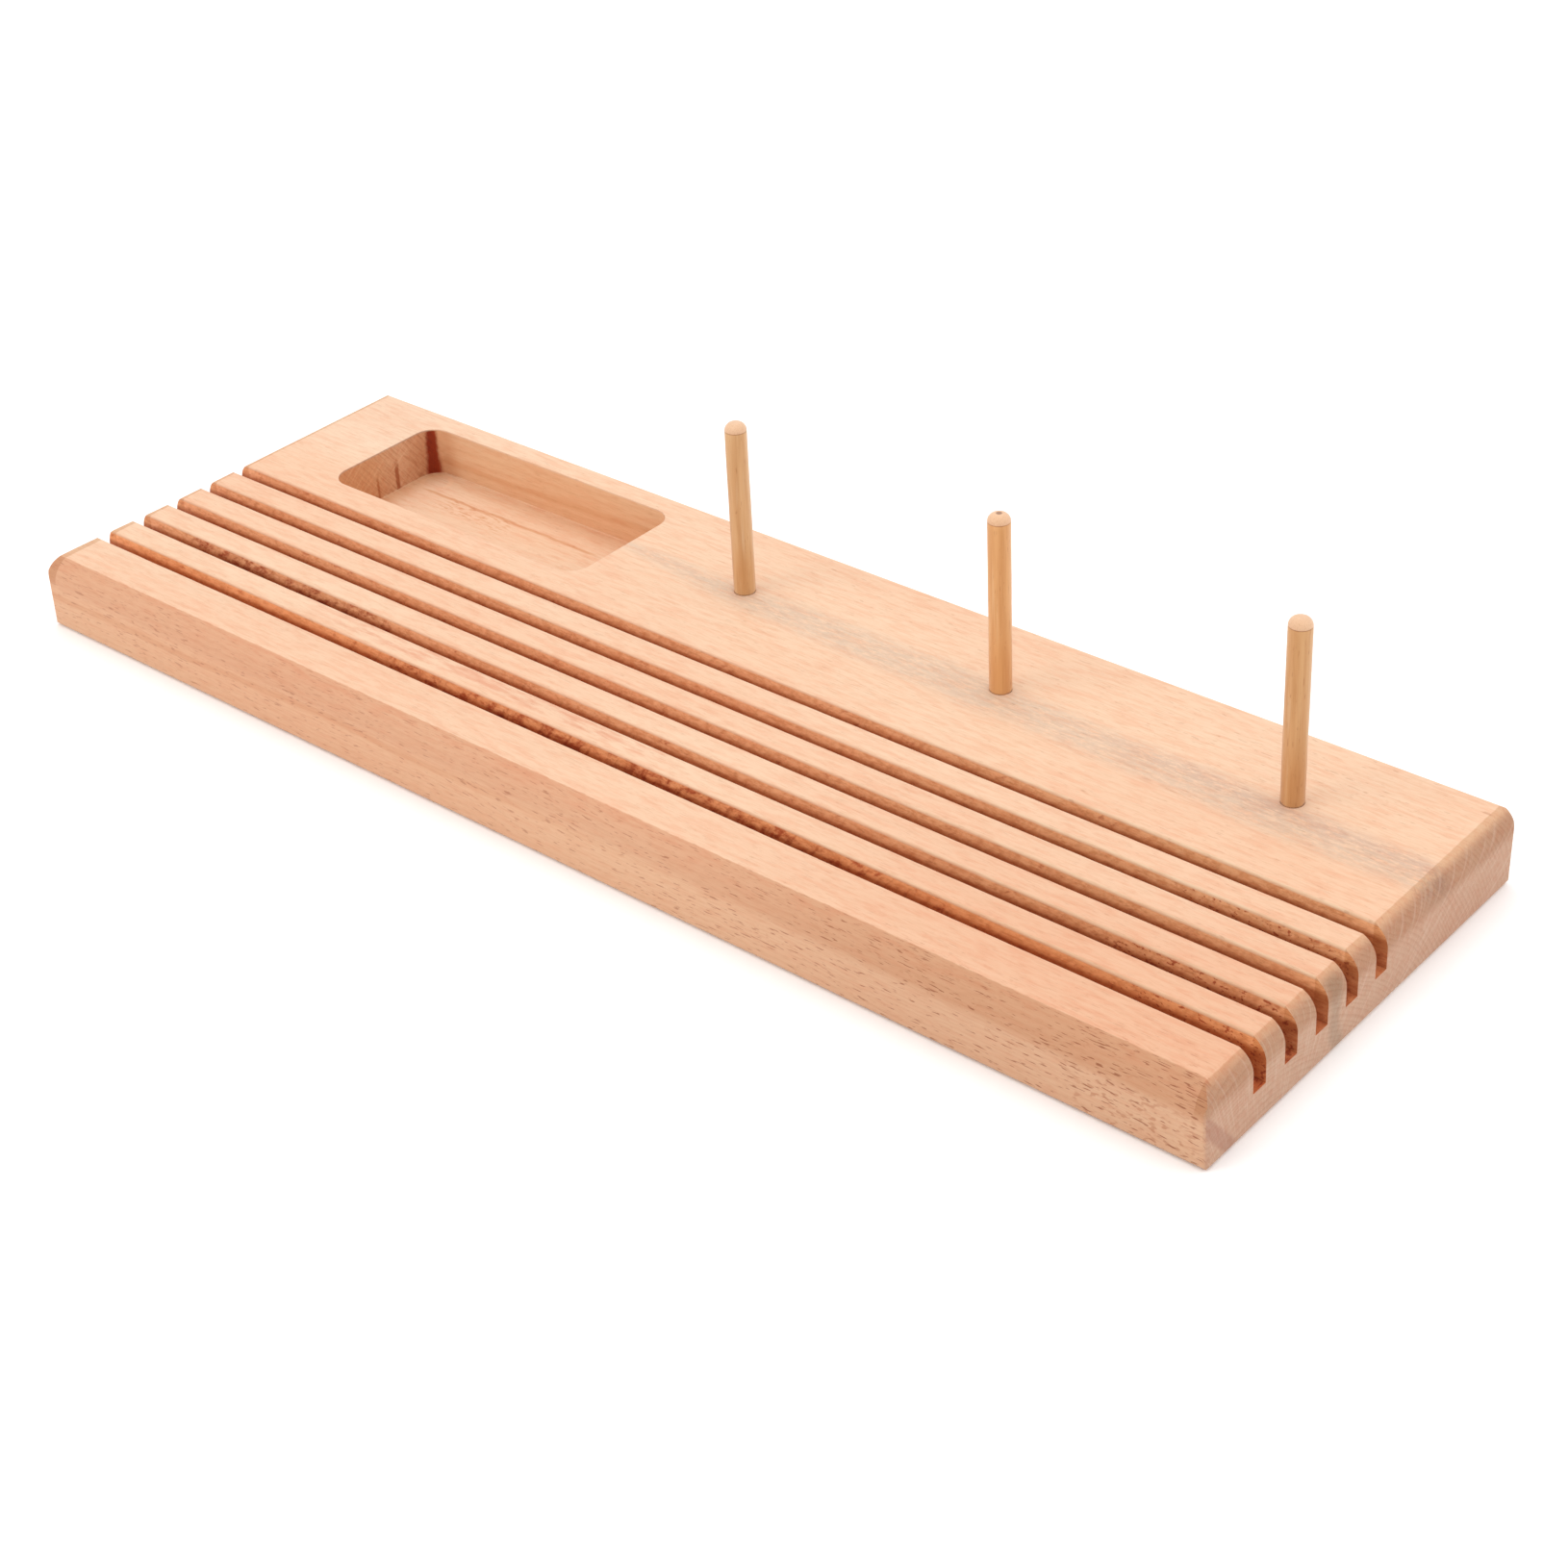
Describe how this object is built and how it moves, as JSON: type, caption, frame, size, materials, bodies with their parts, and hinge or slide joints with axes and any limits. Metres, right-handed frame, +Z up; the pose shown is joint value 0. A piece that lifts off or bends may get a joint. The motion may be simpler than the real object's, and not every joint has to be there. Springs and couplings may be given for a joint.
{
  "type": "ruler rack",
  "caption": "Low beech board with full-length grooves that hold quilting rulers on edge, a round-cornered tray for small tools and upright domed pegs for thread spools.",
  "frame": {"origin": "centre of the board's underside", "axes": "+X along the board's length, from the tray towards the pegs; +Y from the grooved front to the back; +Z up"},
  "size_m": [0.4, 0.1344, 0.0737],
  "materials": {
    "board_wood": "bare sanded beech, matt, fine flecks along the grain",
    "peg_wood": "smooth turned dowel, matt to satin, yellower than the board"
  },
  "bodies": {
    "board": {"board": "board_wood"},
    "peg_left": {"spool_peg_left": "peg_wood"},
    "peg_middle": {"spool_peg_middle": "peg_wood"},
    "peg_right": {"spool_peg_right": "peg_wood"}
  },
  "joints": [
    {"name": "peg_left_lift", "type": "slide", "parent": "board", "child": "peg_left", "axis": [0, 0, 1], "range_m": [0, 0.0135]},
    {"name": "peg_middle_lift", "type": "slide", "parent": "board", "child": "peg_middle", "axis": [0, 0, 1], "range_m": [0, 0.0135]},
    {"name": "peg_right_lift", "type": "slide", "parent": "board", "child": "peg_right", "axis": [0, 0, 1], "range_m": [0, 0.0135]}
  ]
}
